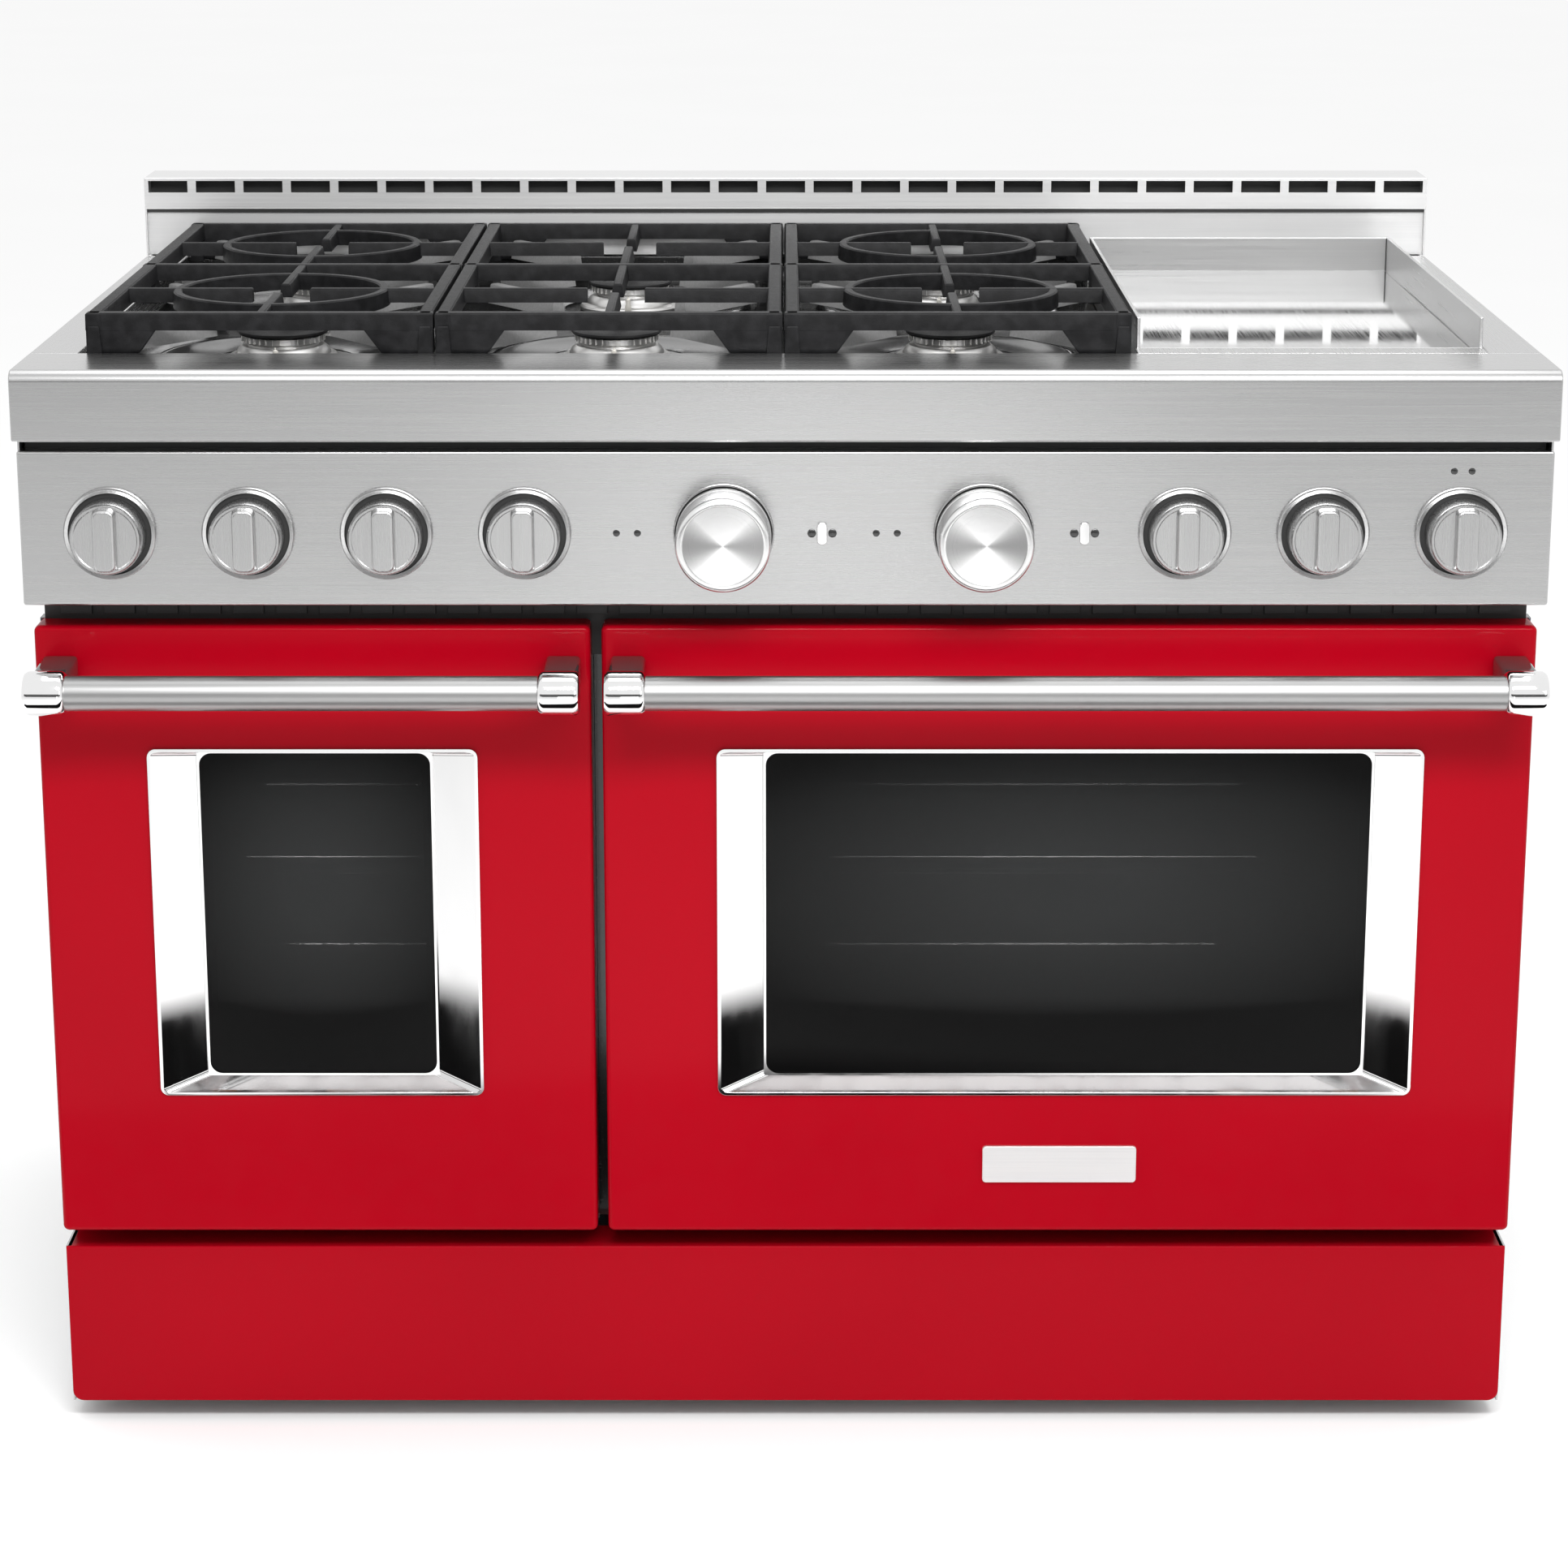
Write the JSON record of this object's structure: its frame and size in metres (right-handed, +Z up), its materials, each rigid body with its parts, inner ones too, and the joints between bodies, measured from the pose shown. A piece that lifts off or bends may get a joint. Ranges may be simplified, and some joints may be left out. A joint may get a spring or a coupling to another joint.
{
  "type": "freestanding gas range",
  "caption": "Wide freestanding gas range with open burners, a griddle and two ovens behind drop-down doors with glass windows and bar handles.",
  "frame": {"origin": "on the floor under the middle of the bounding box", "axes": "+Z up, the front with the doors and knobs faces -Y, +X to the right as seen from the front"},
  "size_m": [1.216, 0.759, 0.988],
  "materials": {
    "red_enamel": "glossy baked enamel",
    "brushed_steel": "fine horizontal brushing",
    "chrome": "polished",
    "cast_iron": "matte black porcelain",
    "blue_grey_porcelain": "speckled porcelain",
    "galvanised": "plain zinc",
    "mineral_wool": "loose fibre slab",
    "aluminium": "cast, lightly machined",
    "black_cap": "satin black porcelain",
    "ceramic": "glazed white",
    "brass": "machined",
    "tinted_glass": "smoked",
    "seal_rope": "woven",
    "clear_lens": "dark glossy lens",
    "black_plastic": "moulded"
  },
  "bodies": {
    "chassis": {"base_pan": "galvanised", "leveling_feet": "galvanised", "rear_panel": "galvanised", "front_frame": "galvanised", "kick_panel": "red_enamel", "landing_ledge": "brushed_steel", "cooktop_pan": "brushed_steel", "back_guard": "brushed_steel", "small_oven_liner": "blue_grey_porcelain", "large_oven_liner": "blue_grey_porcelain", "oven_insulation": "mineral_wool", "oven_racks": "chrome", "tube_burners": "galvanised", "oven_lamps": "ceramic", "fan_cover": "blue_grey_porcelain", "fan_motor": "galvanised", "door_gaskets": "seal_rope", "hinge_brackets": "galvanised", "burner_bases": "aluminium", "burner_caps": "black_cap", "burner_igniters": "ceramic", "griddle_surround": "brushed_steel", "griddle_plate": "brushed_steel", "knob_bezels": "brushed_steel", "gas_valves": "brass", "indicator_lenses": "clear_lens", "control_panel": "brushed_steel", "gas_manifold": "galvanised", "power_inlet": "black_plastic", "left_side_panel": "brushed_steel", "right_side_panel": "brushed_steel"},
    "left_door": {"left_door_skin": "red_enamel", "left_door_liner": "blue_grey_porcelain", "left_window_bezel": "chrome", "left_window_glass": "tinted_glass", "left_handle_bar": "brushed_steel", "left_handle_mounts": "chrome"},
    "right_door": {"right_door_skin": "red_enamel", "right_door_liner": "blue_grey_porcelain", "right_window_bezel": "chrome", "right_window_glass": "tinted_glass", "right_handle_bar": "brushed_steel", "right_handle_mounts": "chrome", "badge_plate": "brushed_steel"},
    "burner_knob_1_body": {"burner_knob_1": "brushed_steel"},
    "burner_knob_2_body": {"burner_knob_2": "brushed_steel"},
    "burner_knob_3_body": {"burner_knob_3": "brushed_steel"},
    "burner_knob_4_body": {"burner_knob_4": "brushed_steel"},
    "burner_knob_5_body": {"burner_knob_5": "brushed_steel"},
    "burner_knob_6_body": {"burner_knob_6": "brushed_steel"},
    "griddle_knob_body": {"griddle_knob": "brushed_steel"},
    "small_oven_knob_body": {"small_oven_knob": "brushed_steel"},
    "large_oven_knob_body": {"large_oven_knob": "brushed_steel"},
    "left_light_button_body": {"left_light_button": "chrome"},
    "right_light_button_body": {"right_light_button": "chrome"},
    "left_grate_body": {"left_grate": "cast_iron"},
    "middle_grate_body": {"middle_grate": "cast_iron"},
    "right_grate_body": {"right_grate": "cast_iron"},
    "convection_fan_body": {"convection_fan": "galvanised"},
    "grease_tray_body": {"grease_tray": "brushed_steel"}
  },
  "joints": [
    {"name": "door_left_hinge", "type": "hinge", "parent": "chassis", "child": "left_door", "pos_m": [0, -0.2695, 0.19], "axis": [1, 0, 0], "range_deg": [0, 90]},
    {"name": "door_right_hinge", "type": "hinge", "parent": "chassis", "child": "right_door", "pos_m": [0, -0.2695, 0.19], "axis": [1, 0, 0], "range_deg": [0, 90]},
    {"name": "knob_burner_1_turn", "type": "hinge", "parent": "chassis", "child": "burner_knob_1_body", "pos_m": [-0.535, -0.3185, 0.782], "axis": [0, -1, 0], "range_deg": [0, 270]},
    {"name": "knob_burner_2_turn", "type": "hinge", "parent": "chassis", "child": "burner_knob_2_body", "pos_m": [-0.42556, -0.3185, 0.782], "axis": [0, -1, 0], "range_deg": [0, 270]},
    {"name": "knob_burner_3_turn", "type": "hinge", "parent": "chassis", "child": "burner_knob_3_body", "pos_m": [-0.31612, -0.3185, 0.782], "axis": [0, -1, 0], "range_deg": [0, 270]},
    {"name": "knob_burner_4_turn", "type": "hinge", "parent": "chassis", "child": "burner_knob_4_body", "pos_m": [-0.20668, -0.3185, 0.782], "axis": [0, -1, 0], "range_deg": [0, 270]},
    {"name": "knob_burner_5_turn", "type": "hinge", "parent": "chassis", "child": "burner_knob_5_body", "pos_m": [0.31612, -0.3185, 0.782], "axis": [0, -1, 0], "range_deg": [0, 270]},
    {"name": "knob_burner_6_turn", "type": "hinge", "parent": "chassis", "child": "burner_knob_6_body", "pos_m": [0.42556, -0.3185, 0.782], "axis": [0, -1, 0], "range_deg": [0, 270]},
    {"name": "knob_griddle_turn", "type": "hinge", "parent": "chassis", "child": "griddle_knob_body", "pos_m": [0.535, -0.3185, 0.782], "axis": [0, -1, 0], "range_deg": [0, 270]},
    {"name": "knob_small_oven_turn", "type": "hinge", "parent": "chassis", "child": "small_oven_knob_body", "pos_m": [-0.049, -0.3185, 0.782], "axis": [0, -1, 0], "range_deg": [0, 300]},
    {"name": "knob_large_oven_turn", "type": "hinge", "parent": "chassis", "child": "large_oven_knob_body", "pos_m": [0.15699, -0.3185, 0.782], "axis": [0, -1, 0], "range_deg": [0, 300]},
    {"name": "button_left_press", "type": "slide", "parent": "chassis", "child": "left_light_button_body", "axis": [0, 1, 0], "range_m": [0, 0.002], "stiffness_N_per_m": 250, "springref_m": -0.001},
    {"name": "button_right_press", "type": "slide", "parent": "chassis", "child": "right_light_button_body", "axis": [0, 1, 0], "range_m": [0, 0.002], "stiffness_N_per_m": 250, "springref_m": -0.001},
    {"name": "grate_left_lift", "type": "slide", "parent": "chassis", "child": "left_grate_body", "axis": [0, 0, 1], "range_m": [0, 0.08]},
    {"name": "grate_middle_lift", "type": "slide", "parent": "chassis", "child": "middle_grate_body", "axis": [0, 0, 1], "range_m": [0, 0.08]},
    {"name": "grate_right_lift", "type": "slide", "parent": "chassis", "child": "right_grate_body", "axis": [0, 0, 1], "range_m": [0, 0.08]},
    {"name": "grease_tray_lift", "type": "slide", "parent": "chassis", "child": "grease_tray_body", "axis": [0, 0, 1], "range_m": [0, 0.06]},
    {"name": "fan_spin", "type": "hinge", "parent": "chassis", "child": "convection_fan_body", "pos_m": [0.23101, 0.269, 0.42005], "axis": [0, 1, 0], "continuous": true}
  ]
}
